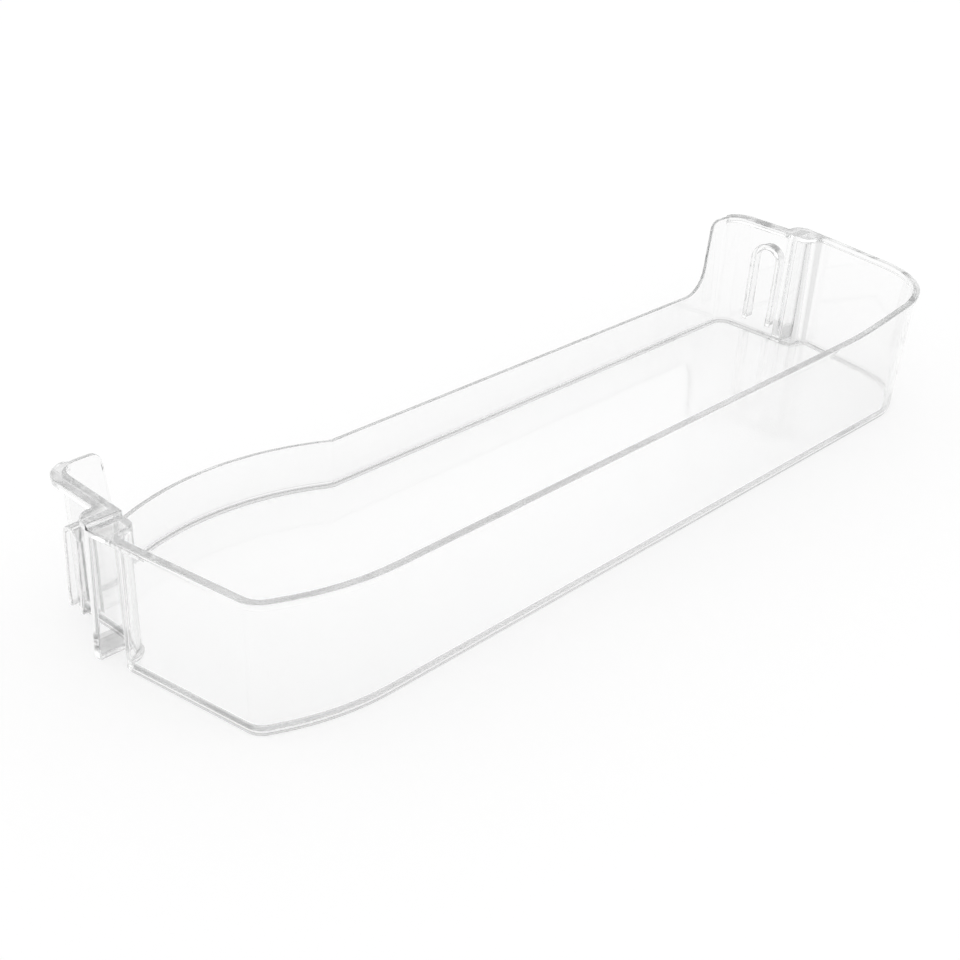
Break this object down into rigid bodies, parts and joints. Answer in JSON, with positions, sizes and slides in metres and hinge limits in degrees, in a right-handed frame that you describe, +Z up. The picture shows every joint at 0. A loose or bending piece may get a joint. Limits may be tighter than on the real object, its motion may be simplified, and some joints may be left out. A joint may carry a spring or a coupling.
{
  "type": "fridge door shelf",
  "caption": "Clear moulded fridge door shelf: long shallow tray with a lipped rim, a low back wall with a rounded bay, and stepped ends with slide grooves and arched hangers.",
  "frame": {"origin": "middle of the footprint, on the surface the shelf stands on", "axes": "+X along the shelf towards its raised front corner, +Y towards the fridge door, +Z up"},
  "size_m": [0.4387, 0.1388, 0.0605],
  "materials": {
    "clear_plastic": "clear gloss"
  },
  "bodies": {
    "root": {"door_shelf": "clear_plastic"}
  },
  "joints": []
}
